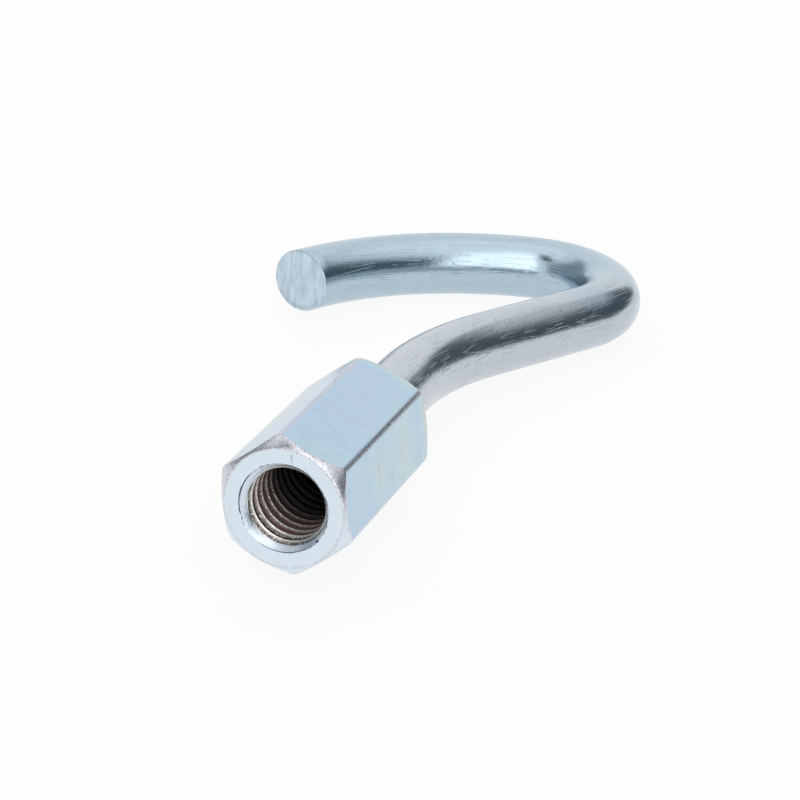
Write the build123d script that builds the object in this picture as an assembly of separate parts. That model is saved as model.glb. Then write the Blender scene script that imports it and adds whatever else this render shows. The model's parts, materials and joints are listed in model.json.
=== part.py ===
from build123d import *
import math
import os

# Hook bolt with a female end: a round bar is bent into an open question-mark hook, and its
# plain end is set into the back of a long hexagon coupling nut that is tapped from its mouth.
# The layout is drawn flat first: nut axis along +Y from the mouth at Y = 0, bar in the XY
# plane. The finished pair is then pitched about X until the nut's heel and the loop both
# touch Z = 0, as it lies on a table. The origin is the middle of the base of its bounding box.
# Lengths are in millimetres and angles in degrees.

# ---- coupling nut ----
across_flats = 14.0
nut_length = 28.0
hex_turn = 21.0                # turn of the hexagon about its axis, from the plane of the hook
end_face_setback = 0.35        # from the flats in to the ring left by the end chamfers
end_chamfer_angle = 30.0
thread_crest_diameter = 8.5    # tapped hole M10 x 1.5, measured over its crests
drill_point_angle = 118.0
web_thickness = 1.5            # solid metal between the drill point and the seat of the bar
countersink_width = 0.85       # on the radius
countersink_angle = 90.0

# ---- seat of the bar in the back of the nut ----
seat_depth = 7.0
seat_clearance = 0.05          # on the radius
seat_lead_in = 0.5             # chamfer at the mouth of the seat

# ---- bent bar ----
bar_diameter = 8.0
neck_length = 12.2             # straight run from the back of the nut to the first bend
offset_radius = 39.0           # centreline radius of the bend that leads out to one side
offset_angle = 28.3
shank_length = 17.8
loop_radius = 10.7             # centreline radius of the loop at the far end
loop_angle = 128.5
point_radius = 34.5            # centreline radius of the arm that comes back round
point_angle = 54.5
tip_length = 0.7               # straight run up to the middle of the sheared face
shear_slant = 8.0              # lean of the sheared face from square, in the hook's plane
bar_edge_break = 0.5           # chamfer on the end that is set in the nut

# ---- what follows from them ----
CORNERS = 6
corner_radius = across_flats / 2 / math.cos(math.pi / CORNERS)
end_face_radius = across_flats / 2 - end_face_setback
end_chamfer_slope = math.tan(math.radians(end_chamfer_angle))
hole_radius = thread_crest_diameter / 2
countersink_radius = hole_radius + countersink_width
bar_radius = bar_diameter / 2
seat_floor = nut_length - seat_depth
drill_point_depth = hole_radius / math.tan(math.radians(drill_point_angle / 2))
tapped_depth = seat_floor - web_thickness - drill_point_depth


def make_hexagon_blank():
    """Hexagonal bar stock with a cone turned on both ends, its axis along +Z."""
    prism = extrude(RegularPolygon(corner_radius, CORNERS, rotation=hex_turn), amount=nut_length)
    outer_radius = corner_radius + end_face_setback
    rise = (outer_radius - end_face_radius) * end_chamfer_slope
    outline = Polyline(
        (0, 0), (end_face_radius, 0), (outer_radius, rise), (outer_radius, nut_length - rise),
        (end_face_radius, nut_length), (0, nut_length), close=True)
    return prism & revolve(make_face(Plane.XZ * outline), axis=Axis.Z)


def make_tapped_hole():
    """Space of the drilled hole, with its drill point and the countersunk mouth."""
    cone = countersink_width / math.tan(math.radians(countersink_angle / 2))
    outline = Polyline(
        (0, 0), (countersink_radius, 0), (hole_radius, cone), (hole_radius, tapped_depth),
        (0, tapped_depth + drill_point_depth), close=True)
    return revolve(make_face(Plane.XZ * outline), axis=Axis.Z)


def make_seat():
    """Space of the plain socket in the back of the nut."""
    seat_radius = bar_radius + seat_clearance
    outline = Polyline(
        (0, seat_floor), (seat_radius, seat_floor), (seat_radius, nut_length - seat_lead_in),
        (seat_radius + seat_lead_in, nut_length), (0, nut_length), close=True)
    return revolve(make_face(Plane.XZ * outline), axis=Axis.Z)


def make_nut():
    """Long hexagon nut lying along +Y, its mouth at Y = 0."""
    nut = make_hexagon_blank() - make_tapped_hole() - make_seat()
    return Rot(X=-90) * nut


def make_route():
    """Centreline of the bar, from the floor of its seat to past the sheared tip."""
    shear_allowance = bar_radius * math.tan(math.radians(shear_slant))
    neck = Line((0, seat_floor), (0, nut_length + neck_length))
    offset = JernArc(neck @ 1, neck % 1, offset_radius, -offset_angle)
    shank = PolarLine(offset @ 1, shank_length, direction=offset % 1)
    loop = JernArc(shank @ 1, shank % 1, loop_radius, loop_angle)
    point = JernArc(loop @ 1, loop % 1, point_radius, point_angle)
    tip = PolarLine(point @ 1, tip_length + shear_allowance, direction=point % 1)
    shear_centre = point @ 1 + (point % 1) * tip_length
    return Wire([neck, offset, shank, loop, point, tip]), shear_centre


def make_shear(route, shear_centre):
    """Block that takes off the bar beyond its slanted shear face."""
    facing = (route % 1).rotate(Axis.Z, shear_slant)
    face = Plane(origin=shear_centre, x_dir=(0, 0, 1), z_dir=facing)
    return extrude(face * Circle(bar_diameter), amount=bar_diameter)


def make_bar(route, shear_centre):
    """Round bar swept along its route, chamfered at the seat and sheared at the tip."""
    section = Plane(origin=route @ 0, z_dir=route % 0) * Circle(bar_radius)
    bar = sweep(section, path=route)
    seat_edge = bar.edges().filter_by(GeomType.CIRCLE).sort_by(Axis.Y)[0]
    return chamfer(seat_edge, bar_edge_break) - make_shear(route, shear_centre)


def rest_pitch(route):
    """Angle about X that brings the heel of the nut and the loop down to one plane."""
    corner_angles = [math.radians(hex_turn + corner * 360 / CORNERS) for corner in range(CORNERS)]
    heel_drop = corner_radius * max(math.sin(angle) for angle in corner_angles)
    heel = nut_length - (corner_radius - end_face_radius) * end_chamfer_slope
    reach = route.bounding_box().max.Y - heel
    line_of_centres = math.atan2(heel_drop, reach)
    tangent = math.asin(bar_radius / math.hypot(heel_drop, reach))
    return math.degrees(line_of_centres - tangent)


def lay_down(pieces, pitch):
    """Pitch the pieces together and put the middle of their base at the origin."""
    pitched = [Rot(X=-pitch) * piece for piece in pieces]
    box = pitched[0].bounding_box()
    for piece in pitched[1:]:
        box = box.add(piece.bounding_box())
    shift = Pos(-box.center().X, -box.center().Y, -box.min.Z)
    return [shift * piece for piece in pitched]


def main():
    """Write one STEP file for each piece."""
    route, shear_centre = make_route()
    nut, bar = lay_down([make_nut(), make_bar(route, shear_centre)], rest_pitch(route))
    os.makedirs("parts", exist_ok=True)
    export_step(nut, "parts/coupling_nut.step")
    export_step(bar, "parts/hook_bar.step")


main()
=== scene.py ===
import json
import logging
import math
from dataclasses import dataclass
from enum import Enum
from typing import Callable, Iterable, Sequence

import bmesh
import bpy
from mathutils import Matrix, Vector


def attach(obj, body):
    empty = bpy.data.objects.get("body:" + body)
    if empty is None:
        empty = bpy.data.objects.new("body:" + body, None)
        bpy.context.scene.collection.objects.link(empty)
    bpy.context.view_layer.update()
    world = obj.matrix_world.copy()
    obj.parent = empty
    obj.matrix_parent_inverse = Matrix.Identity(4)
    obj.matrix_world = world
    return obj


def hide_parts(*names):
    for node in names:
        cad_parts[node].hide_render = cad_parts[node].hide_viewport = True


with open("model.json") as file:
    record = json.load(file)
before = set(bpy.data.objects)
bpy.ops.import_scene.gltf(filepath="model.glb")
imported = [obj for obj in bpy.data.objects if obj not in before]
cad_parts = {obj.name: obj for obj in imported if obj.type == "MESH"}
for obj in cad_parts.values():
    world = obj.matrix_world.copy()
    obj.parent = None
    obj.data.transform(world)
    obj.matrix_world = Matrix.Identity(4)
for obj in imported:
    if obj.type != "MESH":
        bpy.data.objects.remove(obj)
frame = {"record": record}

# Hook bolt with a female hexagon end, in two pieces that are fixed to each other: a long
# hexagon nut, tapped from its mouth, and a round bar bent into an open hook. Both are zinc
# plated. Each piece is modelled flat, as on the bench: the nut's axis along +Y from its mouth
# at Y = 0, the bar in the XY plane. It is then carried to where the frame has the tapped hole.

logging.basicConfig(level=logging.INFO, format="%(message)s")
LOG = logging.getLogger("hook_bolt")

MM = 0.001
FINE_GAP = 1e-7  # metres; points closer than this are one
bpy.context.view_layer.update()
BODY = "root"


class Cut(Enum):
    """What a tool body does to the piece that it meets."""

    KEEP_INSIDE = "INTERSECT"
    TAKE_AWAY = "DIFFERENCE"


# ---------------------------------------------------------------- shader maths


class Tap:
    """A value socket that can be used in Python expressions."""

    def __init__(self, board: "Board", socket: bpy.types.NodeSocket) -> None:
        """Wrap an output socket of a board."""
        self.board = board
        self.socket = socket

    def _maths(self, operation: str, *values: object) -> "Tap":
        """Add a Math node and return its result.

        Args:
            operation: the Math node's operation.
            values: Taps or numbers, in the order of the node's inputs.

        Returns:
            The node's output.
        """
        return self.board.node("ShaderNodeMath", {"operation": operation}, dict(enumerate(values)))

    def __add__(self, other: object) -> "Tap":
        """Return self + other."""
        return self._maths("ADD", self, other)

    def __sub__(self, other: object) -> "Tap":
        """Return self - other."""
        return self._maths("SUBTRACT", self, other)

    def __rsub__(self, other: object) -> "Tap":
        """Return other - self."""
        return self._maths("SUBTRACT", other, self)

    def __mul__(self, other: object) -> "Tap":
        """Return self * other."""
        return self._maths("MULTIPLY", self, other)

    def __truediv__(self, other: object) -> "Tap":
        """Return self / other."""
        return self._maths("DIVIDE", self, other)

    def __abs__(self) -> "Tap":
        """Return the absolute value."""
        return self._maths("ABSOLUTE", self)

    __radd__ = __add__
    __rmul__ = __mul__

    def least(self, other: object) -> "Tap":
        """Return the smaller of the two."""
        return self._maths("MINIMUM", self, other)

    def most(self, other: object) -> "Tap":
        """Return the larger of the two."""
        return self._maths("MAXIMUM", self, other)

    def root(self) -> "Tap":
        """Return the square root."""
        return self._maths("SQRT", self)

    def arctan2(self, other: object) -> "Tap":
        """Return the angle whose tangent is self over other."""
        return self._maths("ARCTAN2", self, other)

    def arcsin(self) -> "Tap":
        """Return the angle whose sine is self."""
        return self._maths("ARCSINE", self)

    def step(self, start: float, end: float) -> "Tap":
        """Return 0 at start and 1 at end, eased between; start may be the larger.

        Args:
            start: where the result is 0.
            end: where the result is 1.

        Returns:
            The eased value.
        """
        low, high = min(start, end), max(start, end)
        rising = self.board.node(
            "ShaderNodeMapRange", {"interpolation_type": "SMOOTHSTEP"},
            {"Value": self, "From Min": low, "From Max": high, "To Min": 0.0, "To Max": 1.0})
        return rising if end >= start else 1.0 - rising

    def between(self, start: float, end: float, soft: float) -> "Tap":
        """Return 1 from start to end, with soft edges outside them.

        Args:
            start: lower limit.
            end: upper limit.
            soft: width of each edge.

        Returns:
            The mask.
        """
        return self.step(start - soft, start) * self.step(end + soft, end)


class Board:
    """The node tree of one material or world, and what is plugged into it."""

    def __init__(self, tree: bpy.types.NodeTree) -> None:
        """Clear the tree and keep it."""
        self.tree = tree
        self.tree.nodes.clear()

    def node(self, kind: str, settings: dict | None = None, inputs: dict | None = None,
             output: str | int = 0) -> Tap:
        """Add a node.

        Args:
            kind: the node's type.
            settings: properties that are set before its sockets are used.
            inputs: socket names or numbers, and the values or links that they take.
            output: the output socket to return.

        Returns:
            The output asked for.
        """
        made = self.tree.nodes.new(kind)
        for name, value in (settings or {}).items():
            setattr(made, name, value)
        for name, value in (inputs or {}).items():
            self._plug(made.inputs[name], value)
        return Tap(self, made.outputs[output])

    def _plug(self, socket: bpy.types.NodeSocket, value: object) -> None:
        """Link a Tap to a socket, or set the socket's own value.

        Args:
            socket: the input socket.
            value: a Tap, a number, a tuple or a colour.
        """
        if isinstance(value, Tap):
            self.tree.links.new(value.socket, socket)
        elif isinstance(value, tuple) and len(value) == 3 and socket.type == "RGBA":
            socket.default_value = (*value, 1.0)
        else:
            socket.default_value = value

    def ramp(self, value: Tap, stops: Sequence[tuple[float, tuple[float, float, float]]]) -> Tap:
        """Turn a value into a colour.

        Args:
            value: the value that is looked up.
            stops: places from 0 to 1 and their colours.

        Returns:
            The colour.
        """
        made = self.tree.nodes.new("ShaderNodeValToRGB")
        ramp = made.color_ramp
        while len(ramp.elements) < len(stops):
            ramp.elements.new(1.0)
        for element, (place, colour) in zip(ramp.elements, stops):
            element.position = place
            element.color = (*colour, 1.0)
        self._plug(made.inputs["Fac"], value)
        return Tap(self, made.outputs["Color"])

    def blend(self, share: object, first: object, second: object) -> Tap:
        """Mix two colours.

        Args:
            share: how much of the second colour is taken.
            first: a colour.
            second: a colour.

        Returns:
            The mixed colour.
        """
        made = self.tree.nodes.new("ShaderNodeMix")
        made.data_type = "RGBA"
        colours = [socket for socket in made.inputs if socket.type == "RGBA"]
        self._plug(made.inputs["Factor"], share)
        self._plug(colours[0], first)
        self._plug(colours[1], second)
        return Tap(self, next(socket for socket in made.outputs if socket.type == "RGBA"))

    def parts(self, vector: Tap) -> tuple[Tap, Tap, Tap]:
        """Split a vector into its three values.

        Args:
            vector: the vector.

        Returns:
            X, Y and Z.
        """
        made = self.tree.nodes.new("ShaderNodeSeparateXYZ")
        self._plug(made.inputs[0], vector)
        return tuple(Tap(self, socket) for socket in made.outputs)

    def stretched(self, vector: Tap, scale: tuple[float, float, float],
                  turn: tuple[float, float, float] = (0.0, 0.0, 0.0)) -> Tap:
        """Turn and scale a vector, for a pattern that is longer one way than another."""
        return self.node("ShaderNodeMapping", None, {"Vector": vector, "Rotation": turn, "Scale": scale})

    def noise(self, vector: Tap, scale: float, detail: float = 3.0, roughness: float = 0.55) -> Tap:
        """Return a noise value, about 0.5 in the mean."""
        return self.node(
            "ShaderNodeTexNoise", {"noise_dimensions": "3D"},
            {"Vector": vector, "Scale": scale, "Detail": detail, "Roughness": roughness})

    def hairlines(self, vector: Tap, scale: float, stretch: float, turn: tuple[float, float, float],
                  width: float, cover: float) -> Tap:
        """Return thin scratches that run one way and come in patches.

        Args:
            vector: coordinates in millimetres.
            scale: scratches per millimetre across their run.
            stretch: how much longer than apart they are.
            turn: rotation of their run, in radians.
            width: half-width of the band of noise that is a scratch.
            cover: share of the surface that is scratched, from 0 to 1.

        Returns:
            The mask of the scratches.
        """
        across = self.stretched(vector, (1.0, 1.0 / stretch, 1.0), turn)
        line = abs(self.noise(across, scale, 1.0, 0.4) - 0.5).step(width, 0.0)
        patch = self.noise(vector, 0.35, 2.0).step(0.62 - 0.3 * cover, 0.72 - 0.3 * cover)
        return line * patch

    def pits(self, vector: Tap, scale: float, size: float, share: float) -> Tap:
        """Return small round specks.

        Args:
            vector: coordinates in millimetres.
            scale: cells per millimetre.
            size: radius of a speck, as a share of its cell.
            share: share of the cells that hold one.

        Returns:
            The mask of the specks.
        """
        cell = self.tree.nodes.new("ShaderNodeTexVoronoi")
        self._plug(cell.inputs["Vector"], vector)
        self._plug(cell.inputs["Scale"], scale)
        speck = Tap(self, cell.outputs["Distance"]).step(size, 0.3 * size)
        chance = self.parts(Tap(self, cell.outputs["Color"]))[0]
        return speck * chance.step(share, 0.8 * share)

    def finish_surface(self, colour: object, roughness: object, metallic: object, height: Tap,
                       depth: float) -> None:
        """Join the metal's shader and its relief to the output.

        Args:
            colour: base colour.
            roughness: roughness value.
            metallic: metallic value.
            height: relief, from 0 to 1.
            depth: the relief's depth in metres.
        """
        normal = self.node("ShaderNodeBump", None, {"Height": height, "Distance": depth, "Strength": 1.0})
        surface = self.node(
            "ShaderNodeBsdfPrincipled", None,
            {"Base Color": colour, "Roughness": roughness, "Metallic": metallic, "Normal": normal})
        self.finish("ShaderNodeOutputMaterial", surface)

    def finish(self, kind: str, surface: Tap) -> None:
        """Join a shader to a new output node of the given type."""
        self.tree.links.new(surface.socket, self.tree.nodes.new(kind).inputs["Surface"])


def new_board(name: str) -> tuple[bpy.types.Material, Board]:
    """Make an empty node material.

    Args:
        name: the material's name.

    Returns:
        The material and its board.
    """
    material = bpy.data.materials.new(name)
    material.use_nodes = True
    return material, Board(material.node_tree)


# ---------------------------------------------------------------- bench work


class Bench:
    """The hand tools: selection, edit mode, modifiers and placing."""

    @staticmethod
    def clear() -> None:
        """Leave nothing selected."""
        for thing in bpy.context.selected_objects:
            thing.select_set(False)

    @staticmethod
    def take(piece: bpy.types.Object) -> None:
        """Select one piece alone and make it the active one.

        Args:
            piece: the piece.
        """
        Bench.clear()
        piece.select_set(True)
        bpy.context.view_layer.objects.active = piece

    @staticmethod
    def edit(piece: bpy.types.Object) -> None:
        """Open a piece in edit mode with nothing selected.

        Args:
            piece: the piece.
        """
        Bench.take(piece)
        bpy.ops.object.mode_set(mode="EDIT")
        bpy.ops.mesh.select_all(action="DESELECT")

    @staticmethod
    def close() -> None:
        """Leave edit mode."""
        bpy.ops.object.mode_set(mode="OBJECT")

    @staticmethod
    def _pick(piece: bpy.types.Object, kind: str, wanted: Callable[[object], bool]) -> None:
        """Select the edges or faces of an open piece that pass a test, and nothing else.

        Args:
            piece: the piece in edit mode.
            kind: EDGE or FACE.
            wanted: the test.
        """
        bpy.ops.mesh.select_mode(type=kind)
        bpy.ops.mesh.select_all(action="DESELECT")
        mesh = bmesh.from_edit_mesh(piece.data)
        elements = mesh.edges if kind == "EDGE" else mesh.faces
        for element in [one for one in elements if wanted(one)]:
            element.select_set(True)
        mesh.select_flush_mode()
        bmesh.update_edit_mesh(piece.data)

    @staticmethod
    def pick_edges(piece: bpy.types.Object, wanted: Callable[[bmesh.types.BMEdge], bool]) -> None:
        """Select the edges of an open piece that pass a test, and nothing else."""
        Bench._pick(piece, "EDGE", wanted)

    @staticmethod
    def pick_faces(piece: bpy.types.Object, wanted: Callable[[bmesh.types.BMFace], bool]) -> None:
        """Select the faces of an open piece that pass a test, and nothing else."""
        Bench._pick(piece, "FACE", wanted)

    @staticmethod
    def tidy_normals(piece: bpy.types.Object, gap: float = FINE_GAP) -> None:
        """Merge doubles and turn every face outwards.

        Args:
            piece: a closed piece.
            gap: how close points are before they are one.
        """
        Bench.edit(piece)
        bpy.ops.mesh.select_all(action="SELECT")
        bpy.ops.mesh.remove_doubles(threshold=gap)
        bpy.ops.mesh.normals_make_consistent(inside=False)
        Bench.close()

    @staticmethod
    def modify(piece: bpy.types.Object, kind: str, **settings: object) -> None:
        """Add a modifier to a piece and apply it.

        Args:
            piece: the piece.
            kind: the modifier's type.
            settings: the modifier's properties.
        """
        Bench.take(piece)
        modifier = piece.modifiers.new(kind.lower(), kind)
        for name, value in settings.items():
            setattr(modifier, name, value)
        bpy.ops.object.modifier_apply(modifier=modifier.name)

    @staticmethod
    def cut(piece: bpy.types.Object, tool: bpy.types.Object, operation: Cut) -> None:
        """Combine a piece with a tool body and throw the tool away."""
        Bench.modify(piece, "BOOLEAN", operation=operation.value, solver="MANIFOLD", object=tool)
        bpy.data.objects.remove(tool)

    @staticmethod
    def carry(piece: bpy.types.Object, place: Matrix) -> None:
        """Put a piece's place into its mesh, with its object at the origin."""
        piece.data.transform(place)
        piece.data.update()


@dataclass(frozen=True)
class Placing:
    """Where the bench layout lies in the frame, from the mount of the tapped hole."""

    mount_name: str = "female_thread"
    mount_depth: float = 0.85 * MM

    def matrix(self) -> Matrix:
        """Work out the bench layout's place.

        Returns:
            The matrix from the bench layout to the frame.
        """
        mounts = frame["record"]["mounts"]
        mount = next(entry for entry in mounts if entry["name"] == self.mount_name)
        out_of_mouth = Vector(mount["axis"])
        mouth = Vector(mount["pos_m"]) + out_of_mouth * self.mount_depth
        pitch = math.atan2(out_of_mouth.z, -out_of_mouth.y)
        return Matrix.Translation(mouth) @ Matrix.Rotation(-pitch, 4, "X")


# ---------------------------------------------------------------- coupling nut


@dataclass(frozen=True)
class NutFinish:
    """Bright zinc with a pale blue passivate and wear along the edges; the ends carry painted sheen, the
    upper edges painted highlight and the countersink painted dark reflection.
    """

    tints: tuple = (
        (0.00, (0.53, 0.55, 0.66)),
        (0.22, (0.45, 0.58, 0.74)),
        (0.50, (0.44, 0.60, 0.73)),
        (0.72, (0.48, 0.63, 0.70)),
        (0.88, (0.53, 0.62, 0.63)),
        (1.00, (0.60, 0.57, 0.64)))
    painted_face_sheen: tuple = (0.71, 0.80, 0.88)
    wear_and_highlight: tuple = (0.40, 0.31, 0.34)
    grime: tuple = (0.09, 0.07, 0.08)
    bare_and_highlight: tuple = (0.86, 0.84, 0.87)
    polished: tuple = (0.66, 0.74, 0.83)
    painted_dark_reflection: tuple = (0.05, 0.09, 0.15)
    roughness: float = 0.22
    relief: float = 0.012 * MM


@dataclass(frozen=True)
class ThreadFinish:
    """Cut thread: bright at the mouth and rusty further in, with painted shade in the grooves and deepening
    towards the bottom.
    """

    bright: tuple = (0.78, 0.76, 0.72)
    painted_groove_shade: tuple = (0.10, 0.095, 0.09)
    rust: tuple = (0.15, 0.042, 0.034)
    painted_depth_shade: tuple = (0.006, 0.005, 0.004)
    roughness: float = 0.24
    relief: float = 0.035 * MM


@dataclass
class CouplingNut:
    """Long hexagon nut: chamfered ends, countersunk mouth and a cut thread."""

    across_flats: float = 14.0 * MM
    length: float = 28.0 * MM
    hex_turn: float = math.radians(21.0)
    end_face_setback: float = 0.25 * MM
    end_chamfer: float = math.radians(45.0)
    corner_round: float = 1.20 * MM
    edge_round: float = 0.14 * MM
    crest_radius: float = 4.25 * MM
    thread_depth: float = 0.80 * MM
    pitch: float = 1.5 * MM
    tapped_depth: float = 16.946 * MM
    fade_turns: float = 1.5
    drill_point: float = 2.554 * MM
    countersink_width: float = 0.72 * MM
    rim_round: float = 0.12 * MM
    seat_radius: float = 4.05 * MM
    seat_depth: float = 7.0 * MM
    seat_lead_in: float = 0.5 * MM
    mouth_gap: float = 0.01 * MM
    weld_gap: float = 0.004 * MM
    turns_steps: int = 144
    envelope_steps: int = 240

    @property
    def corner_radius(self) -> float:
        """Radius over the corners."""
        return self.across_flats / 2 / math.cos(math.radians(30))

    @property
    def end_face_radius(self) -> float:
        """Radius of the flat ring at each end."""
        return self.across_flats / 2 - self.end_face_setback

    @property
    def countersink_radius(self) -> float:
        """Radius of the countersink at the mouth."""
        return self.crest_radius + self.countersink_width

    def _blank(self) -> bpy.types.Object:
        """Hexagon bar with rounded long edges, its axis along +Z.

        Returns:
            The blank.
        """
        Bench.clear()
        bpy.ops.mesh.primitive_cylinder_add(
            vertices=6, radius=self.corner_radius, depth=self.length,
            location=(0, 0, self.length / 2), rotation=(0, 0, self.hex_turn - math.radians(30)))
        blank = bpy.context.active_object
        blank.name = "coupling_nut_body"
        bpy.ops.object.transform_apply(location=True, rotation=True, scale=True)
        Bench.edit(blank)
        Bench.pick_edges(blank, lambda edge: abs(edge.verts[0].co.z - edge.verts[1].co.z) > self.length / 2)
        bpy.ops.mesh.bevel(offset=self.corner_round / 2, segments=6, affect="EDGES")
        Bench.close()
        return blank

    def _turned_envelope(self) -> bpy.types.Object:
        """Round body with a cone at both ends, which the blank is turned to.

        Returns:
            The envelope.
        """
        outer = self.corner_radius + self.end_face_setback
        rise = (outer - self.end_face_radius) * math.tan(self.end_chamfer)
        Bench.clear()
        bpy.ops.mesh.primitive_circle_add(
            vertices=self.envelope_steps, radius=self.end_face_radius, fill_type="NGON", location=(0, 0, 0))
        envelope = bpy.context.active_object
        Bench.take(envelope)
        bpy.ops.object.mode_set(mode="EDIT")
        bpy.ops.mesh.select_all(action="SELECT")
        widen = outer / self.end_face_radius
        for lift, scale in ((rise, widen), (self.length - 2 * rise, 1.0), (rise, 1 / widen)):
            bpy.ops.mesh.extrude_region_move(TRANSFORM_OT_translate={"value": (0, 0, lift)})
            bpy.ops.transform.resize(value=(scale, scale, 1.0), center_override=(0, 0, 0))
        Bench.close()
        Bench.tidy_normals(envelope)
        return envelope

    def _thread_profile(self) -> list[tuple[float, float]]:
        """One pitch of the thread's section, as radius and height.

        Returns:
            The points from one crest to the next.
        """
        root = self.crest_radius + self.thread_depth
        ease = 0.12
        shape = (
            (0.000, 0.0), (0.105, 0.0), (0.130, ease * 0.3), (0.160, ease), (0.390, 1 - ease),
            (0.420, 1 - ease * 0.3), (0.450, 1.0), (0.550, 1.0), (0.580, 1 - ease * 0.3), (0.610, 1 - ease),
            (0.840, ease), (0.870, ease * 0.3), (0.895, 0.0), (1.000, 0.0))
        return [(self.crest_radius + share * (root - self.crest_radius), place * self.pitch)
                for place, share in shape]

    def _hole_radius(self, radius: float, height: float) -> float:
        """Radius of the finished hole where the thread alone has a given radius.

        Args:
            radius: the thread's radius.
            height: distance in from the mouth.

        Returns:
            The radius with the countersink, the rounded rim and the thread's run-out.
        """
        fade_start = self.tapped_depth - self.fade_turns * self.pitch
        fade = min(max((self.tapped_depth - height) / (self.fade_turns * self.pitch), 0.0), 1.0)
        if height > fade_start:
            radius = self.crest_radius + (radius - self.crest_radius) * fade
        cone = self.countersink_radius - max(height, 0.0)
        flare = 0.0
        if height < self.rim_round:
            drop = min(max(self.rim_round - height, 0.0), self.rim_round)
            flare = self.rim_round - math.sqrt(max(self.rim_round ** 2 - drop ** 2, 0.0))
        return max(radius, cone + flare)

    def _tap(self) -> bpy.types.Object:
        """Body of the tapped hole: helical thread, countersink and drill point.

        Returns:
            The tool body, closed.
        """
        profile = self._thread_profile()
        start = -2 * self.pitch
        turns = math.ceil((self.tapped_depth - start) / self.pitch) + 1
        Bench.clear()
        bpy.ops.mesh.primitive_plane_add(size=self.pitch, location=(0, 0, 0))
        tap = bpy.context.active_object
        Bench.edit(tap)
        bpy.ops.mesh.select_mode(type="VERT")
        mesh = bmesh.from_edit_mesh(tap.data)
        for vertex in mesh.verts:
            vertex.select_set(vertex.co.x < 0)
        bmesh.update_edit_mesh(tap.data)
        bpy.ops.mesh.delete(type="VERT")
        bpy.ops.mesh.select_all(action="SELECT")
        bpy.ops.mesh.subdivide(number_cuts=len(profile) - 2)
        mesh = bmesh.from_edit_mesh(tap.data)
        for vertex, (radius, height) in zip(sorted(mesh.verts, key=lambda point: point.co.y), profile):
            vertex.co = (radius, 0.0, start + height)
        bmesh.update_edit_mesh(tap.data)
        Bench.close()
        Bench.modify(
            tap, "SCREW", axis="Z", angle=2 * math.pi, screw_offset=self.pitch, iterations=turns,
            steps=self.turns_steps, render_steps=self.turns_steps, use_merge_vertices=True,
            merge_threshold=self.weld_gap)
        Bench.tidy_normals(tap, self.weld_gap)
        for vertex in tap.data.vertices:
            radius = math.hypot(vertex.co.x, vertex.co.y)
            scale = self._hole_radius(radius, vertex.co.z) / radius
            vertex.co.x *= scale
            vertex.co.y *= scale
        Bench.edit(tap)
        bpy.ops.mesh.select_all(action="SELECT")
        bpy.ops.mesh.bisect(plane_co=(0, 0, -self.pitch / 4), plane_no=(0, 0, -1), threshold=FINE_GAP,
                             clear_outer=True, use_fill=True)
        bpy.ops.mesh.select_all(action="SELECT")
        bpy.ops.mesh.bisect(plane_co=(0, 0, self.tapped_depth), plane_no=(0, 0, 1), threshold=FINE_GAP,
                             clear_outer=True)
        at_bottom = self.tapped_depth - 1e-6
        Bench.pick_edges(
            tap, lambda edge: edge.is_boundary and all(vertex.co.z > at_bottom for vertex in edge.verts))
        bpy.ops.mesh.extrude_region_move(TRANSFORM_OT_translate={"value": (0, 0, self.drill_point)})
        bpy.ops.mesh.merge(type="CENTER")
        bpy.ops.mesh.select_all(action="SELECT")
        bpy.ops.mesh.normals_make_consistent(inside=False)
        Bench.close()
        return tap

    def _seat_plug(self) -> bpy.types.Object:
        """Body of the plain socket in the back, with its lead-in.

        Returns:
            The tool body, closed.
        """
        floor = self.length - self.seat_depth
        Bench.clear()
        bpy.ops.mesh.primitive_circle_add(
            vertices=96, radius=self.seat_radius, fill_type="NGON", location=(0, 0, floor))
        plug = bpy.context.active_object
        bpy.ops.object.transform_apply(location=True, rotation=True, scale=True)
        bpy.ops.object.mode_set(mode="EDIT")
        bpy.ops.mesh.select_all(action="SELECT")
        widen = (self.seat_radius + 2 * self.seat_lead_in) / self.seat_radius
        for lift, scale in ((self.seat_depth - self.seat_lead_in, 1.0), (2 * self.seat_lead_in, widen)):
            bpy.ops.mesh.extrude_region_move(TRANSFORM_OT_translate={"value": (0, 0, lift)})
            bpy.ops.transform.resize(value=(scale, scale, 1.0), center_override=(0, 0, 0))
        Bench.close()
        Bench.tidy_normals(plug)
        return plug

    def build(self, placing: Placing) -> bpy.types.Object:
        """Model the nut and carry it to its place.

        Args:
            placing: where the bench layout lies.

        Returns:
            The finished nut.
        """
        nut = self._blank()
        Bench.cut(nut, self._turned_envelope(), Cut.KEEP_INSIDE)
        Bench.modify(
            nut, "BEVEL", width=self.edge_round, segments=3, limit_method="ANGLE",
            angle_limit=math.radians(20), use_clamp_overlap=True)
        Bench.tidy_normals(nut)
        Bench.cut(nut, self._tap(), Cut.TAKE_AWAY)
        Bench.cut(nut, self._seat_plug(), Cut.TAKE_AWAY)
        Bench.tidy_normals(nut)
        self._dress(nut)
        Bench.take(nut)
        bpy.ops.object.shade_smooth_by_angle(angle=math.radians(24))
        Bench.modify(nut, "WEIGHTED_NORMAL", keep_sharp=True, weight=80)
        seated = Matrix.Translation((0, 0, self.mouth_gap))
        Bench.carry(nut, placing.matrix() @ Matrix.Rotation(math.radians(-90), 4, "X") @ seated)
        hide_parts("coupling_nut")
        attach(nut, BODY)
        return nut

    def _dress(self, nut: bpy.types.Object) -> None:
        """Give the outside and the hole their finishes.

        Args:
            nut: the nut, still on the bench.
        """
        nut.data.materials.clear()
        nut.data.materials.append(self._outside())
        nut.data.materials.append(self._thread())
        widest = self.countersink_radius
        deepest = self.length - self.seat_depth - MM
        for face in nut.data.polygons:
            centre = face.center
            inside = math.hypot(centre.x, centre.y) < widest and 0.02 * MM < centre.z < deepest
            face.material_index = 1 if inside else 0

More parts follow.
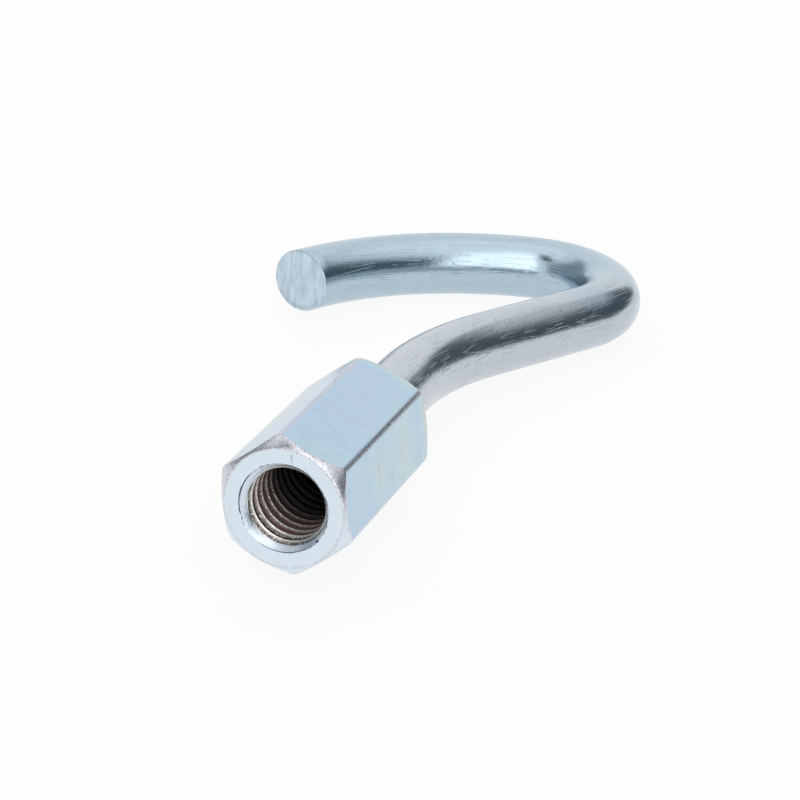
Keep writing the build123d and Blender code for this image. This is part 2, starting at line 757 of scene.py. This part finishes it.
    def _bench_coordinates(self, board: Board) -> Tap:
        """Measure along the nut's own axes, with Z in from the mouth.

        Args:
            board: the material's board.

        Returns:
            The coordinates in millimetres.
        """
        place = Placing().matrix() @ Matrix.Rotation(math.radians(-90), 4, "X")
        where = board.node("ShaderNodeTexCoord", None, None, "Object")
        return board.node(
            "ShaderNodeMapping", {"vector_type": "TEXTURE"},
            {"Vector": where, "Location": tuple(place.to_translation()),
             "Rotation": tuple(place.to_euler("XYZ")), "Scale": (MM, MM, MM)})

    def _outside(self) -> bpy.types.Material:
        """Make the plated outside, with wear along its edges that is also painted highlight on the upper
        side.

        Returns:
            The material.
        """
        look = NutFinish()
        material, board = new_board("zinc_nut")
        point = self._bench_coordinates(board)
        x, y, z = board.parts(point)
        radius = (x * x + y * y).root()
        flats = []
        for index in range(3):
            angle = self.hex_turn + math.radians(30 + 60 * index)
            flats.append(abs(x * math.cos(angle) + y * math.sin(angle)))
        middle = flats[0].least(flats[1]).most(flats[0].most(flats[1]).least(flats[2]))
        corner_gap = self.across_flats / 2 / MM - middle
        length = self.length / MM
        end_gap = z.least(length - z) - (radius - self.end_face_radius / MM) * math.tan(self.end_chamfer)
        rim_gap = abs(radius - self.end_face_radius / MM) + z.least(length - z) * 0.5
        flat_gap = self.across_flats / 2 / MM - flats[0].most(flats[1]).most(flats[2])
        hole = radius.step(self.countersink_radius / MM + 0.05, self.countersink_radius / MM - 0.02)

        ragged = board.noise(point, 2.2, 4.0, 0.7)
        fine = board.noise(point, 9.0, 3.0, 0.6)
        along = (corner_gap - 0.14).most(0.0).least(abs(end_gap).most(flat_gap)).least(rim_gap)
        # Edge wear, made stronger on the upper side and spread over the upper chamfers: there it is painted
        # highlight, with a light bare colour standing in for the bright reflection of the top edges.
        upper = (0.0 - y).step(-1.0, 3.0)
        cone = abs(end_gap).step(0.14, 0.04) * (radius - self.end_face_radius / MM).step(0.0, 0.1)
        wear_and_highlight = (along + (ragged - 0.5) * 1.1 + (fine - 0.5) * 0.5).step(0.22, 0.00) * (upper * 0.5 + 0.5)
        wear_and_highlight = wear_and_highlight.most(cone * upper * fine.step(0.40, 0.55) * 0.8)
        speckle = board.noise(point, 6.0, 3.0, 0.7).step(0.42, 0.58)

        hue = board.noise(point, 0.11, 2.0, 0.5)
        share = z / length
        shift = (x.step(4.5, 6.6) * share.between(0.42, 0.68, 0.22) * 0.36 + x.step(-3.8, -5.6) * 0.38
                 + share.step(0.88, 0.985) * 0.55)
        tint = board.ramp((hue - 0.5) * 1.2 + 0.36 + shift, look.tints)
        # Painted sheen: the end faces and the chamfers take a lighter colour that stands in for their
        # bright reflection.
        face = z.least(length - z).step(0.12, 0.02).most(cone)
        plated = board.blend(face, tint, look.painted_face_sheen)
        cloud = board.noise(point, 0.6, 3.0, 0.6)
        plated = board.blend((cloud - 0.5) * 0.5 + 0.08, plated, (0.62, 0.70, 0.76))

        scratch = board.hairlines(point, 1.1, 14.0, (0.4, 0.9, 0.5), 0.006, 0.45).most(
            board.hairlines(point, 0.9, 16.0, (1.3, 0.2, 2.1), 0.005, 0.40))
        pit = board.pits(point, 1.3, 0.10, 0.30)
        marked = board.blend(scratch * 0.5, plated, (0.22, 0.27, 0.31))
        marked = board.blend(pit * 0.6, marked, (0.16, 0.15, 0.18))
        # The band's colour: pink wear, light bare metal that is also painted highlight, and dark grime
        # specks.
        wear_and_highlight_colour = board.blend(speckle, look.wear_and_highlight, look.bare_and_highlight)
        wear_and_highlight_colour = board.blend(fine.step(0.40, 0.34), wear_and_highlight_colour, look.grime)
        colour = board.blend(wear_and_highlight * 0.85, marked, wear_and_highlight_colour)
        colour = board.blend(hole, colour, look.polished)
        # Painted dark reflection: navy patches in the countersink and along its lip stand in for the dark
        # part of the studio that it mirrors.
        lip = abs(radius - self.crest_radius / MM - 0.16).least(abs(radius - self.countersink_radius / MM))
        painted_dark_reflection = (lip + (ragged - 0.5) * 0.5).step(0.10, 0.02).most(ragged.step(0.56, 0.62) * hole)
        colour = board.blend(painted_dark_reflection * radius.step(5.15, 5.05) * z.step(2.0, 1.5), colour, look.painted_dark_reflection)

        roughness = (ragged - 0.5) * 0.08 + look.roughness + wear_and_highlight * 0.12 + scratch * 0.10 - hole * 0.12
        height = ((fine - 0.5) * 0.25 + (cloud - 0.5) * 0.5 + 0.5 - scratch * 0.25 - pit * 0.6
                  + wear_and_highlight * (fine - 0.5) * 1.4 + hole * (ragged - 0.5) * 2.0)
        board.finish_surface(colour, roughness, 1.0, height, look.relief)
        return material

    def _thread(self) -> bpy.types.Material:
        """Make the cut thread, rusty away from the mouth.

        Returns:
            The material.
        """
        look = ThreadFinish()
        material, board = new_board("tapped_thread")
        point = self._bench_coordinates(board)
        x, y, z = board.parts(point)
        radius = (x * x + y * y).root()
        ragged = board.noise(point, 1.6, 4.0, 0.7)
        fine = board.noise(point, 4.5, 4.0, 0.75)
        top = self.crest_radius / MM
        crest = radius.step(top + 0.35, top)
        deep = (z + (ragged - 0.5) * 5.0).step(1.6, 5.5)
        rusty = deep * (1.0 - crest * 0.45) * fine.step(0.25, 0.6)
        # Painted shade: the hole goes dark towards the bottom, where little light reaches.
        painted_depth_shade = (z + (ragged - 0.5) * 2.0).step(4.0, 10.5)
        near = z.step(0.9, 0.4)
        # Painted highlight and shade: the crests take the bright metal colour, and the grooves between them
        # take a near-black painted shade.
        ridge = (radius + (fine - 0.5) * 0.35).step(top + 0.30, top + 0.02)
        metal = board.blend(ridge.most(fine.step(0.51, 0.60) * 0.85), look.painted_groove_shade, look.bright)
        metal = board.blend(near, metal, NutFinish().polished)
        colour = board.blend(rusty, metal, look.rust)
        colour = board.blend(painted_depth_shade, colour, look.painted_depth_shade)
        roughness = rusty * 0.35 + look.roughness + (fine - 0.5) * 0.2
        board.finish_surface(colour, roughness, 1.0 - rusty * 0.7, fine, look.relief)
        return material


# ---------------------------------------------------------------- bent bar


@dataclass(frozen=True)
class BarFinish:
    """Satin zinc over drawn bar, scuffed in patches along its length."""

    plated: tuple = (0.48, 0.57, 0.66)
    cool: tuple = (0.44, 0.56, 0.64)
    warm: tuple = (0.54, 0.58, 0.62)
    dark: tuple = (0.20, 0.24, 0.27)
    roughness: float = 0.20
    relief: float = 0.018 * MM
    warm_until: float = 48.0
    cool_from: float = 72.0


@dataclass(frozen=True)
class ShearFinish:
    """Sheared end: torn fibres with a thin skin of zinc."""

    pale: tuple = (0.60, 0.71, 0.80)
    streak: tuple = (0.46, 0.57, 0.67)
    roughness: float = 0.34
    relief: float = 0.03 * MM


@dataclass(frozen=True)
class Run:
    """One stretch of the bar's centreline: straight where its radius is 0."""

    start: Vector
    heading: float
    length: float
    radius: float = 0.0
    side: int = 0

    @property
    def ahead(self) -> Vector:
        """Unit vector of the heading, where 0 is +Y and positive turns are to +X."""
        return Vector((math.sin(self.heading), math.cos(self.heading), 0.0))

    @property
    def across(self) -> Vector:
        """Unit vector to the right of the heading."""
        return Vector((math.cos(self.heading), -math.sin(self.heading), 0.0))

    @property
    def centre(self) -> Vector:
        """Centre of the bend."""
        return self.start + self.across * self.side * self.radius

    @property
    def turn(self) -> float:
        """Angle of the bend, positive to the right."""
        return self.side * self.length / self.radius if self.radius else 0.0

    @property
    def end(self) -> Vector:
        """Where the run ends.

        Returns:
            The point.
        """
        if not self.radius:
            return self.start + self.ahead * self.length
        return self.centre + Matrix.Rotation(-self.turn, 3, "Z") @ (self.start - self.centre)

    def straightened(self, point: Vector) -> tuple[float, Vector]:
        """Lay a point of the surface along a straight bar.

        Args:
            point: a point of the bent bar.

        Returns:
            Its distance from the run's centreline, and its place: across, along the run, up.
        """
        if not self.radius:
            offset = point - self.start
            along = min(max(offset.dot(self.ahead), 0.0), self.length)
            nearest = self.start + self.ahead * along
            return (point - nearest).length, Vector((offset.dot(self.across), along, point.z))
        spoke = point - self.centre
        first = self.start - self.centre
        angle = -self.side * math.atan2(first.cross(spoke).z, first.dot(spoke))
        along = min(max(angle * self.radius, 0.0), self.length)
        nearest = self.centre + Matrix.Rotation(-self.side * along / self.radius, 3, "Z") @ first
        flat = Vector((spoke.x, spoke.y, 0.0)).length
        return (point - nearest).length, Vector(((self.radius - flat) * self.side, along, point.z))


@dataclass
class BentBar:
    """Round bar bent into an open hook, sheared off at its free end."""

    radius: float = 3.99 * MM
    seat_floor: float = 21.0 * MM
    neck: float = 19.2 * MM
    offset_radius: float = 39.0 * MM
    offset_angle: float = math.radians(28.3)
    shank: float = 17.8 * MM
    loop_radius: float = 10.7 * MM
    loop_angle: float = math.radians(128.5)
    point_radius: float = 34.5 * MM
    point_angle: float = math.radians(54.5)
    tip: float = 0.7 * MM
    shear_slant: float = math.radians(8.0)
    burr: float = 0.10 * MM
    rim_round: float = 0.12 * MM
    rim_band: float = 0.10 * MM
    burr_width: float = 0.25 * MM
    face_inset: float = 0.8 * MM
    facets: int = 72
    facet_turn: float = math.radians(2.0)

    def runs(self) -> list[Run]:
        """Lay out the centreline.

        Returns:
            Its runs, from the seat to past the sheared tip.
        """
        spare = self.radius * math.tan(self.shear_slant) + self.burr
        plan = (
            (self.neck, 0.0, 0), (self.offset_angle * self.offset_radius, self.offset_radius, 1),
            (self.shank, 0.0, 0), (self.loop_angle * self.loop_radius, self.loop_radius, -1),
            (self.point_angle * self.point_radius, self.point_radius, -1), (self.tip + spare, 0.0, 0))
        made: list[Run] = []
        place, heading = Vector((0.0, self.seat_floor, 0.0)), 0.0
        for length, radius, side in plan:
            run = Run(place, heading, length, radius, side)
            made.append(run)
            place, heading = run.end, run.heading + run.turn
        return made

    def _bend(self) -> bpy.types.Object:
        """Extrude and spin the bar's section along its runs.

        Returns:
            The bent tube, open at both ends.
        """
        runs = self.runs()
        Bench.clear()
        bpy.ops.mesh.primitive_circle_add(
            vertices=self.facets, radius=self.radius, fill_type="NOTHING",
            location=runs[0].start, rotation=(math.radians(90), 0, 0))
        bar = bpy.context.active_object
        bar.name = "hook_bar_body"
        bpy.ops.object.transform_apply(location=True, rotation=True, scale=True)
        bpy.ops.object.mode_set(mode="EDIT")
        bpy.ops.mesh.select_mode(type="EDGE")
        bpy.ops.mesh.select_all(action="SELECT")
        for run in runs:
            if run.radius:
                steps = math.ceil(abs(run.turn) / self.facet_turn)
                bpy.ops.mesh.spin(steps=steps, angle=run.turn, center=run.centre, axis=(0, 0, 1))
            else:
                steps = max(1, round(run.length / self.radius))
                for _ in range(steps):
                    bpy.ops.mesh.extrude_region_move(
                        TRANSFORM_OT_translate={"value": run.ahead * (run.length / steps)})
        Bench.close()
        return bar

    def _shear_plane(self) -> tuple[Vector, Vector]:
        """Return the middle of the sheared face and the way that it faces."""
        last = self.runs()[-1]
        return last.start + last.ahead * self.tip, Matrix.Rotation(self.shear_slant, 3, "Z") @ last.ahead

    def _shear(self, bar: bpy.types.Object) -> None:
        """Cut the tip off on a slant, close both ends and raise the burr.

        Args:
            bar: the bent tube.
        """
        last = self.runs()[-1]
        centre, facing = self._shear_plane()
        Bench.edit(bar)
        reach = 2 * self.radius
        Bench.pick_edges(bar, lambda edge: all(
            abs((vertex.co - last.start).dot(last.ahead)) < 2e-6 and (vertex.co - last.start).length < reach
            for vertex in edge.verts))
        bpy.ops.mesh.dissolve_edges(use_verts=True)
        Bench.pick_faces(bar, lambda face: (face.calc_center_median() - centre).length < reach)
        bpy.ops.mesh.bisect(
            plane_co=centre, plane_no=facing, threshold=FINE_GAP, clear_outer=True, use_fill=True)
        Bench.pick_edges(bar, lambda edge: edge.is_boundary)
        bpy.ops.mesh.edge_face_add()
        Bench.pick_edges(bar, lambda edge: (edge.verts[0].co - centre).length < reach
                         and any(len(face.verts) > 8 for face in edge.link_faces))
        bpy.ops.mesh.bevel(offset=self.rim_round, segments=2, affect="EDGES")
        bpy.ops.mesh.select_all(action="SELECT")
        bpy.ops.mesh.normals_make_consistent(inside=False)
        Bench.pick_faces(bar, lambda face: face.normal.dot(facing) > 0.999 and len(face.verts) > 8)
        bpy.ops.mesh.inset(thickness=self.rim_band)
        bpy.ops.mesh.inset(thickness=self.burr_width)
        bpy.ops.transform.translate(value=facing * -self.burr)
        bpy.ops.mesh.inset(thickness=self.face_inset)
        Bench.close()

    def _straighten(self, bar: bpy.types.Object) -> None:
        """Store each point's place along the straight bar, in millimetres.

        Args:
            bar: the bar, still on the bench.
        """
        runs = self.runs()
        starts = [sum(run.length for run in runs[:index]) for index in range(len(runs))]
        store = bar.data.attributes.new("bar_run", "FLOAT_VECTOR", "POINT")
        for vertex in bar.data.vertices:
            options = [run.straightened(vertex.co) for run in runs]
            best = min(range(len(runs)), key=lambda index: options[index][0])
            place = options[best][1] + Vector((0.0, starts[best], 0.0))
            store.data[vertex.index].vector = place / MM

    def build(self, placing: Placing) -> bpy.types.Object:
        """Model the bar and carry it to its place.

        Args:
            placing: where the bench layout lies.

        Returns:
            The finished bar.
        """
        bar = self._bend()
        Bench.tidy_normals(bar)
        self._shear(bar)
        self._straighten(bar)
        self._dress(bar)
        Bench.take(bar)
        bpy.ops.object.shade_smooth_by_angle(angle=math.radians(40))
        Bench.carry(bar, placing.matrix())
        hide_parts("hook_bar")
        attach(bar, BODY)
        return bar

    def _dress(self, bar: bpy.types.Object) -> None:
        """Give the drawn side and the sheared end their finishes.

        Args:
            bar: the bar, still on the bench.
        """
        bar.data.materials.clear()
        bar.data.materials.append(self._drawn())
        bar.data.materials.append(self._sheared())
        centre, facing = self._shear_plane()
        for face in bar.data.polygons:
            at_tip = abs((face.center - centre).dot(facing)) < 0.3 * MM and face.normal.dot(facing) > 0.5
            near = (face.center - centre).length < 2 * self.radius
            face.material_index = 1 if at_tip and near else 0

    def _drawn(self) -> bpy.types.Material:
        """Make the plated side of the bar.

        Returns:
            The material.
        """
        look = BarFinish()
        material, board = new_board("zinc_bar")
        point = board.node("ShaderNodeAttribute", {"attribute_name": "bar_run"}, None, "Vector")
        streaks = board.noise(board.stretched(point, (1.0, 0.05, 1.0)), 2.6, 4.0, 0.6)
        mottled = board.noise(point, 1.7, 4.0, 0.65)
        fine = board.noise(point, 7.0, 3.0, 0.6)
        cloud = board.noise(point, 0.09, 2.0, 0.5)
        scuff = board.hairlines(point, 1.6, 14.0, (0.0, 0.0, 0.06), 0.02, 0.75)
        cross = board.hairlines(point, 1.0, 7.0, (0.3, 0.2, 1.2), 0.010, 0.4)
        pit = board.pits(point, 0.9, 0.12, 0.35)
        run = board.parts(point)[1] + (cloud - 0.5) * 60.0
        tint = board.blend(run.step(look.warm_until, look.cool_from), look.warm, look.cool)
        tint = board.blend(mottled.step(0.35, 0.7) * 0.5, tint, look.plated)
        tint = board.blend(scuff * 0.22, tint, look.dark)
        colour = board.blend(pit * 0.5, tint, look.dark)
        roughness = (mottled - 0.5) * 0.18 + (streaks - 0.5) * 0.12 + look.roughness
        height = (0.5 + (streaks - 0.5) * 0.5 + (mottled - 0.5) * 0.9 + (fine - 0.5) * 0.25
                  - scuff * 0.6 - cross * 0.3)
        board.finish_surface(colour, roughness, 1.0, height, look.relief)
        return material

    def _sheared(self) -> bpy.types.Material:
        """Make the torn face at the tip.

        Returns:
            The material.
        """
        look = ShearFinish()
        material, board = new_board("zinc_shear")
        where = board.node("ShaderNodeTexCoord", None, None, "Object")
        point = board.stretched(where, (1 / MM, 1 / MM, 1 / MM))
        torn = board.noise(board.stretched(point, (1.0, 1.0, 0.28)), 1.3, 4.0, 0.6)
        fine = board.noise(point, 5.0, 3.0, 0.6)
        colour = board.blend(torn.step(0.35, 0.62), look.streak, look.pale)
        height = torn * 0.8 + fine * 0.2
        board.finish_surface(colour, look.roughness, 1.0, height, look.relief)
        return material


# ---------------------------------------------------------------- studio


@dataclass(frozen=True)
class Patch:
    """A patch of the studio's surround, by azimuth and elevation in degrees."""

    level: float
    azimuth: tuple[float, float]
    elevation: tuple[float, float]
    soft: float
    fade: float

    def mask(self, azimuth: Tap, elevation: Tap) -> Tap:
        """Shade the patch with soft sides and a fading upper edge.

        Args:
            azimuth: the direction's azimuth.
            elevation: the direction's elevation.

        Returns:
            The patch's mask.
        """
        low, high = self.elevation
        upright = elevation.step(low - self.soft, low) * elevation.step(high + self.fade, high)
        return azimuth.between(*self.azimuth, self.soft) * upright


@dataclass
class Studio:
    """White sweep, surround and camera."""

    floor_size: float = 3.0
    lens: float = 137.3
    azimuth: float = math.radians(17.324)
    elevation: float = math.radians(24.503)
    roll: float = math.radians(2.706)
    distance: float = 362.85 * MM
    aim: tuple[float, float, float] = (2.806 * MM, -1.86 * MM, 3.071 * MM)

    def build(self) -> None:
        """Set the floor, the surround, the camera and the view."""
        self._floor()
        self._surround()
        self._camera()
        bpy.context.scene.view_settings.view_transform = "Standard"

    def _floor(self) -> None:
        """Lay the pale floor."""
        Bench.clear()
        bpy.ops.mesh.primitive_plane_add(size=self.floor_size, location=(0, 0, 0))
        floor = bpy.context.active_object
        floor.name = "floor"
        material, board = new_board("studio_floor")
        path = self._light_path(board)
        seen = path["Is Camera Ray"].most(path["Is Glossy Ray"])
        matt = board.node("ShaderNodeBsdfDiffuse", None, {"Color": (0.92, 0.92, 0.92)})
        glow = board.node("ShaderNodeEmission", None, {"Color": (1.0, 1.0, 1.0), "Strength": 1.0})
        mixed = board.node("ShaderNodeMixShader", None, {0: seen * 0.90, 1: matt, 2: glow})
        board.finish("ShaderNodeOutputMaterial", mixed)
        floor.data.materials.append(material)

    @staticmethod
    def _light_path(board: Board) -> dict[str, Tap]:
        """Return the outputs of a Light Path node by name."""
        made = board.tree.nodes.new("ShaderNodeLightPath")
        return {socket.name: Tap(board, socket) for socket in made.outputs}

    def _surround(self) -> None:
        """Light the object from a white studio with darker and brighter patches."""
        world = bpy.data.worlds.new("studio")
        bpy.context.scene.world = world
        world.use_nodes = True
        board = Board(world.node_tree)
        x, y, z = board.parts(board.node("ShaderNodeTexCoord", None, None, "Generated"))
        azimuth = x.arctan2(0.0 - y) * (180 / math.pi)
        elevation = z.arcsin() * (180 / math.pi)
        level: Tap | float = 1.0
        patches = (
            Patch(1.15, (-200.0, 200.0), (62.0, 100.0), 10.0, 1.0),
            Patch(2.00, (-2.0, 19.0), (-30.0, 74.0), 4.0, 6.0),
            Patch(1.85, (27.0, 44.0), (-20.0, 60.0), 4.0, 8.0),
            Patch(0.13, (55.0, 160.0), (3.0, 24.0), 6.0, 30.0),
            Patch(0.38, (-120.0, -36.0), (10.0, 36.0), 15.0, 14.0),
            Patch(0.06, (-52.0, -22.0), (50.0, 68.0), 3.0, 4.0))
        for patch in patches:
            mask = patch.mask(azimuth, elevation)
            level = mask * patch.level + (1.0 - mask) * level
        path = self._light_path(board)
        shown = path["Is Camera Ray"]
        level = shown + (1.0 - shown) * level
        hue = board.ramp(level, ((0.0, (0.62, 0.84, 1.0)), (0.7, (1.0, 1.0, 1.0))))
        background = board.node("ShaderNodeBackground", None, {"Color": hue, "Strength": level})
        board.finish("ShaderNodeOutputWorld", background)

    def _camera(self) -> None:
        """Set the camera on its line of sight, upright but for its roll."""
        ahead = Vector((
            -math.sin(self.azimuth) * math.cos(self.elevation),
            math.cos(self.azimuth) * math.cos(self.elevation),
            -math.sin(self.elevation)))
        data = bpy.data.cameras.new("camera")
        data.lens = self.lens
        data.clip_start = 0.01
        camera = bpy.data.objects.new("camera", data)
        bpy.context.scene.collection.objects.link(camera)
        facing = ahead.to_track_quat("-Z", "Y").to_matrix().to_4x4()
        place = Vector(self.aim) - ahead * self.distance
        camera.matrix_world = Matrix.Translation(place) @ facing @ Matrix.Rotation(self.roll, 4, "Z")
        bpy.context.scene.camera = camera


def report(pieces: Iterable[bpy.types.Object]) -> None:
    """Log each piece and its size."""
    for piece in pieces:
        LOG.info("%s: %d faces", piece.name, len(piece.data.polygons))


def main() -> None:
    """Build the nut, the bar and the studio."""
    placing = Placing()
    report([CouplingNut().build(placing), BentBar().build(placing)])
    Studio().build()


if __name__ == "__main__":
    main()
